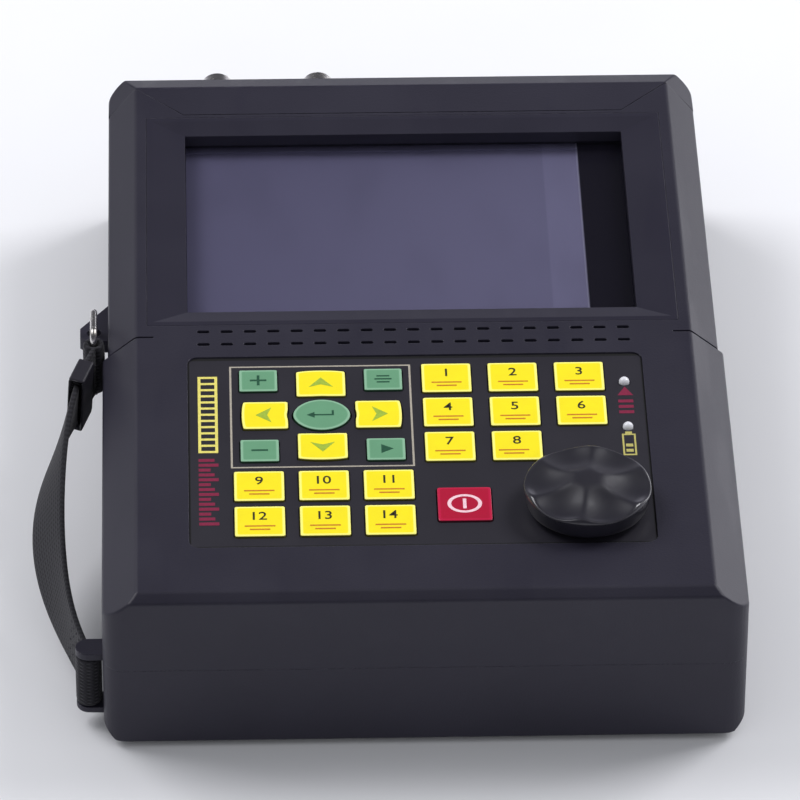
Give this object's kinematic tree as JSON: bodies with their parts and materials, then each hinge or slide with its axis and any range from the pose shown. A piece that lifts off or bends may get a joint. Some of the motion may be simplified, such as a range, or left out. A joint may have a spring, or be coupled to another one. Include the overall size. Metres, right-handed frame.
{
  "type": "ultrasonic flaw detector",
  "caption": "Hand-held ultrasonic flaw detector with a recessed screen, a keypad, a push-and-turn knob, two probe sockets, a hand strap and a folding stand.",
  "frame": {"origin": "on the rest plane under the four feet, at the middle of the whole object's box in plan", "axes": "+X to the right of the face, +Y towards the connector end, +Z out of the face"},
  "size_m": [0.1962, 0.263, 0.0615],
  "materials": {
    "housing_plastic": "finely textured black moulding",
    "trim_plastic": "smooth satin black moulding",
    "knob_plastic": "polished black",
    "panel_film": "matt printed film",
    "key_yellow": "embossed, semi-gloss",
    "key_green": "embossed, semi-gloss",
    "key_red": "embossed, semi-gloss",
    "window_acrylic": "clear, polished",
    "display_glass": "dark display cell in its frame",
    "rubber": "matt",
    "board_laminate": "solder-masked laminate",
    "spring_steel": "stamped",
    "screw_steel": "zinc plated",
    "bright_metal": "nickel plated",
    "contact_brass": "gold flashed",
    "insulator": "white fluoropolymer",
    "cell_wrap": "heat-shrunk film",
    "ribbon_film": "amber film",
    "webbing": "woven webbing",
    "lamp_lens": "diffuse lens"
  },
  "bodies": {
    "housing": {"rear_shell": "housing_plastic", "front_shell": "housing_plastic", "top_cap": "housing_plastic", "shell_seal": "rubber", "screen_surround": "trim_plastic", "screen_window": "window_acrylic", "display_module": "display_glass", "keypad_overlay": "panel_film", "dome_sheet": "spring_steel", "keypad_board": "board_laminate", "main_board": "board_laminate", "battery_pack": "cell_wrap", "battery_contacts": "contact_brass", "battery_cover": "housing_plastic", "battery_cover_screws": "screw_steel", "encoder_body": "bright_metal", "encoder_nut": "bright_metal", "indicator_lamps": "lamp_lens", "probe_sockets": "bright_metal", "socket_insulators": "insulator", "socket_nuts": "bright_metal", "charger_socket": "trim_plastic", "data_port": "bright_metal", "sounder": "trim_plastic", "display_ribbon": "ribbon_film", "hand_strap": "webbing", "strap_ring": "bright_metal", "strap_buckle": "trim_plastic", "rubber_feet": "rubber", "case_screws": "screw_steel", "board_screws": "screw_steel"},
    "knob_push": {"encoder_plunger": "insulator"},
    "knob": {"knob": "knob_plastic", "encoder_shaft": "bright_metal"},
    "stand": {"folding_stand": "trim_plastic"},
    "arrow_up": {"arrow_up": "key_yellow"},
    "arrow_down": {"arrow_down": "key_yellow"},
    "arrow_left": {"arrow_left": "key_yellow"},
    "arrow_right": {"arrow_right": "key_yellow"},
    "centre_key": {"centre_key": "key_green"},
    "power_key": {"power_key": "key_red"},
    "corner_key_1": {"corner_key_1": "key_green"},
    "corner_key_2": {"corner_key_2": "key_green"},
    "corner_key_3": {"corner_key_3": "key_green"},
    "corner_key_4": {"corner_key_4": "key_green"},
    "function_key_1": {"function_key_1": "key_yellow"},
    "function_key_2": {"function_key_2": "key_yellow"},
    "function_key_3": {"function_key_3": "key_yellow"},
    "function_key_4": {"function_key_4": "key_yellow"},
    "function_key_5": {"function_key_5": "key_yellow"},
    "function_key_6": {"function_key_6": "key_yellow"},
    "function_key_7": {"function_key_7": "key_yellow"},
    "function_key_8": {"function_key_8": "key_yellow"},
    "function_key_9": {"function_key_9": "key_yellow"},
    "function_key_10": {"function_key_10": "key_yellow"},
    "function_key_11": {"function_key_11": "key_yellow"},
    "function_key_12": {"function_key_12": "key_yellow"},
    "function_key_13": {"function_key_13": "key_yellow"},
    "function_key_14": {"function_key_14": "key_yellow"}
  },
  "joints": [
    {"name": "knob_press", "type": "slide", "parent": "housing", "child": "knob_push", "axis": [0, 0, -1], "range_m": [0, 0.0005], "stiffness_N_per_m": 8000},
    {"name": "knob_turn", "type": "hinge", "parent": "knob_push", "child": "knob", "pos_m": [0.05545, -0.09245, 0.0535], "axis": [0, 0, 1], "continuous": true},
    {"name": "stand_fold", "type": "hinge", "parent": "housing", "child": "stand", "pos_m": [0.01013, 0.07355, 0.00516], "axis": [1, 0, 0], "range_deg": [0, 65]},
    {"name": "arrow_up_press", "type": "slide", "parent": "housing", "child": "arrow_up", "axis": [0, 0, -1], "range_m": [0, 0.0004], "stiffness_N_per_m": 5000},
    {"name": "arrow_down_press", "type": "slide", "parent": "housing", "child": "arrow_down", "axis": [0, 0, -1], "range_m": [0, 0.0004], "stiffness_N_per_m": 5000},
    {"name": "arrow_left_press", "type": "slide", "parent": "housing", "child": "arrow_left", "axis": [0, 0, -1], "range_m": [0, 0.0004], "stiffness_N_per_m": 5000},
    {"name": "arrow_right_press", "type": "slide", "parent": "housing", "child": "arrow_right", "axis": [0, 0, -1], "range_m": [0, 0.0004], "stiffness_N_per_m": 5000},
    {"name": "centre_key_press", "type": "slide", "parent": "housing", "child": "centre_key", "axis": [0, 0, -1], "range_m": [0, 0.0004], "stiffness_N_per_m": 5000},
    {"name": "power_key_press", "type": "slide", "parent": "housing", "child": "power_key", "axis": [0, 0, -1], "range_m": [0, 0.0004], "stiffness_N_per_m": 5000},
    {"name": "corner_key_1_press", "type": "slide", "parent": "housing", "child": "corner_key_1", "axis": [0, 0, -1], "range_m": [0, 0.0004], "stiffness_N_per_m": 5000},
    {"name": "corner_key_2_press", "type": "slide", "parent": "housing", "child": "corner_key_2", "axis": [0, 0, -1], "range_m": [0, 0.0004], "stiffness_N_per_m": 5000},
    {"name": "corner_key_3_press", "type": "slide", "parent": "housing", "child": "corner_key_3", "axis": [0, 0, -1], "range_m": [0, 0.0004], "stiffness_N_per_m": 5000},
    {"name": "corner_key_4_press", "type": "slide", "parent": "housing", "child": "corner_key_4", "axis": [0, 0, -1], "range_m": [0, 0.0004], "stiffness_N_per_m": 5000},
    {"name": "function_key_1_press", "type": "slide", "parent": "housing", "child": "function_key_1", "axis": [0, 0, -1], "range_m": [0, 0.0004], "stiffness_N_per_m": 5000},
    {"name": "function_key_2_press", "type": "slide", "parent": "housing", "child": "function_key_2", "axis": [0, 0, -1], "range_m": [0, 0.0004], "stiffness_N_per_m": 5000},
    {"name": "function_key_3_press", "type": "slide", "parent": "housing", "child": "function_key_3", "axis": [0, 0, -1], "range_m": [0, 0.0004], "stiffness_N_per_m": 5000},
    {"name": "function_key_4_press", "type": "slide", "parent": "housing", "child": "function_key_4", "axis": [0, 0, -1], "range_m": [0, 0.0004], "stiffness_N_per_m": 5000},
    {"name": "function_key_5_press", "type": "slide", "parent": "housing", "child": "function_key_5", "axis": [0, 0, -1], "range_m": [0, 0.0004], "stiffness_N_per_m": 5000},
    {"name": "function_key_6_press", "type": "slide", "parent": "housing", "child": "function_key_6", "axis": [0, 0, -1], "range_m": [0, 0.0004], "stiffness_N_per_m": 5000},
    {"name": "function_key_7_press", "type": "slide", "parent": "housing", "child": "function_key_7", "axis": [0, 0, -1], "range_m": [0, 0.0004], "stiffness_N_per_m": 5000},
    {"name": "function_key_8_press", "type": "slide", "parent": "housing", "child": "function_key_8", "axis": [0, 0, -1], "range_m": [0, 0.0004], "stiffness_N_per_m": 5000},
    {"name": "function_key_9_press", "type": "slide", "parent": "housing", "child": "function_key_9", "axis": [0, 0, -1], "range_m": [0, 0.0004], "stiffness_N_per_m": 5000},
    {"name": "function_key_10_press", "type": "slide", "parent": "housing", "child": "function_key_10", "axis": [0, 0, -1], "range_m": [0, 0.0004], "stiffness_N_per_m": 5000},
    {"name": "function_key_11_press", "type": "slide", "parent": "housing", "child": "function_key_11", "axis": [0, 0, -1], "range_m": [0, 0.0004], "stiffness_N_per_m": 5000},
    {"name": "function_key_12_press", "type": "slide", "parent": "housing", "child": "function_key_12", "axis": [0, 0, -1], "range_m": [0, 0.0004], "stiffness_N_per_m": 5000},
    {"name": "function_key_13_press", "type": "slide", "parent": "housing", "child": "function_key_13", "axis": [0, 0, -1], "range_m": [0, 0.0004], "stiffness_N_per_m": 5000},
    {"name": "function_key_14_press", "type": "slide", "parent": "housing", "child": "function_key_14", "axis": [0, 0, -1], "range_m": [0, 0.0004], "stiffness_N_per_m": 5000}
  ]
}
